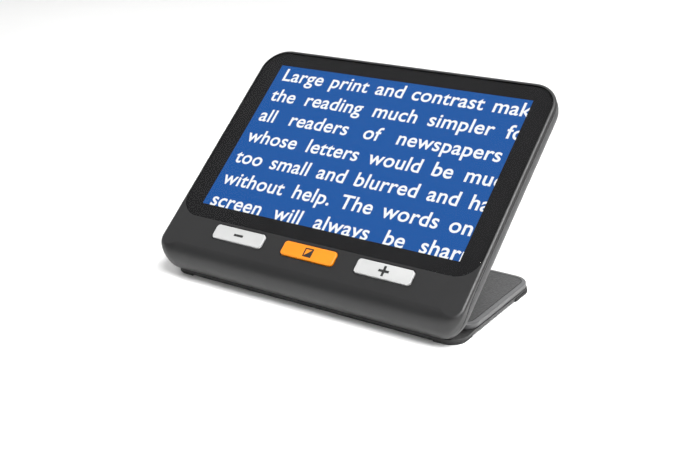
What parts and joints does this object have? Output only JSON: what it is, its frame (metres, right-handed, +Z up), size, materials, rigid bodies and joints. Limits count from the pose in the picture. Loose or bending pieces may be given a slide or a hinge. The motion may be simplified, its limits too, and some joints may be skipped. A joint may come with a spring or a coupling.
{
  "type": "low vision magnifier",
  "caption": "Electronic low vision magnifier: wide lit screen in a thin head leaning back on a hinged flat base, with raised front keys and a rear camera pod.",
  "frame": {"origin": "on the table, at the middle of the object's footprint box", "axes": "+X to the user's right, +Y away from the user, +Z up"},
  "size_m": [0.201, 0.1262, 0.1157],
  "materials": {
    "shell_dark_grey": "fine spark-textured moulding",
    "bezel_dark_grey": "fine spark-textured moulding",
    "cover_glass": "black-bordered polished cover glass",
    "display": "lit blue liquid crystal panel",
    "key_light_grey": "soft-touch moulding with printed mark",
    "key_orange": "soft-touch moulding with printed mark",
    "black_plastic": "fine texture",
    "pod_black": "polished",
    "clear_window": "polished",
    "frosted_window": "frosted diffuser",
    "base_rim_grey": "satin",
    "base_pad_grey": "satin, fine grain",
    "rubber_black": "moulded rubber",
    "silicone_grey": "moulded silicone",
    "steel": "plain steel",
    "screw_steel": "black oxide",
    "pcb_green": "solder mask",
    "chip_black": "moulded package",
    "tin_plate": "tin plated",
    "battery_wrap": "foil pouch with tape",
    "light_guide": "white diffuser",
    "flex_amber": "polyimide film",
    "led_yellow": "phosphor and clear dome",
    "hinge_zinc": "die cast zinc"
  },
  "bodies": {
    "base": {"base_tray": "black_plastic", "base_cover": "base_rim_grey", "base_top_pad": "base_pad_grey", "weight_plate": "steel", "front_foot_left": "rubber_black", "front_foot_right": "rubber_black", "rear_foot_left": "rubber_black", "rear_foot_right": "rubber_black", "hinge_lug_left": "steel", "hinge_lug_right": "steel", "base_screws": "screw_steel"},
    "head": {"front_bezel": "bezel_dark_grey", "cover_glass": "cover_glass", "display_panel": "display", "backlight_guide": "light_guide", "display_frame": "steel", "keypad_membrane": "silicone_grey", "key_board": "pcb_green", "tact_switches": "chip_black", "key_board_screws": "screw_steel", "rear_shell": "shell_dark_grey", "shell_screws": "screw_steel", "top_key_switches": "chip_black", "main_board": "pcb_green", "processor_shield": "tin_plate", "processor_chip": "chip_black", "board_screws": "screw_steel", "battery_pack": "battery_wrap", "speaker": "black_plastic", "usb_socket": "tin_plate", "headphone_socket": "black_plastic", "socket_board": "pcb_green", "camera_pod": "pod_black", "camera_window": "clear_window", "lamp_window_left": "frosted_window", "lamp_window_right": "frosted_window", "camera_lens": "pod_black", "camera_module": "chip_black", "camera_board": "pcb_green", "lamp_leds": "led_yellow", "camera_ribbon": "flex_amber", "display_ribbon": "flex_amber", "hinge_block_left": "hinge_zinc", "hinge_block_right": "hinge_zinc", "hinge_pin_left": "steel", "hinge_pin_right": "steel", "friction_washers": "steel"},
    "zoom_out_key": {"zoom_out_key": "key_light_grey"},
    "contrast_key": {"contrast_key": "key_orange"},
    "zoom_in_key": {"zoom_in_key": "key_light_grey"},
    "power_key": {"power_key": "black_plastic"},
    "snapshot_key": {"snapshot_key": "key_orange"}
  },
  "joints": [
    {"name": "stand_hinge", "type": "hinge", "parent": "base", "child": "head", "pos_m": [0, -0.05235, 0.01438], "axis": [1, 0, 0], "range_deg": [-39.2, 0]},
    {"name": "zoom_out_key_press", "type": "slide", "parent": "head", "child": "zoom_out_key", "axis": [0, 0.632, -0.7749], "range_m": [0, 0.0008], "stiffness_N_per_m": 1200, "springref_m": -0.0006},
    {"name": "contrast_key_press", "type": "slide", "parent": "head", "child": "contrast_key", "axis": [0, 0.632, -0.7749], "range_m": [0, 0.0008], "stiffness_N_per_m": 1200, "springref_m": -0.0006},
    {"name": "zoom_in_key_press", "type": "slide", "parent": "head", "child": "zoom_in_key", "axis": [0, 0.632, -0.7749], "range_m": [0, 0.0008], "stiffness_N_per_m": 1200, "springref_m": -0.0006},
    {"name": "power_key_press", "type": "slide", "parent": "head", "child": "power_key", "axis": [0, -0.7749, -0.632], "range_m": [0, 0.0006], "stiffness_N_per_m": 1200, "springref_m": -0.0006},
    {"name": "snapshot_key_press", "type": "slide", "parent": "head", "child": "snapshot_key", "axis": [0, -0.7749, -0.632], "range_m": [0, 0.0006], "stiffness_N_per_m": 1200, "springref_m": -0.0006}
  ]
}
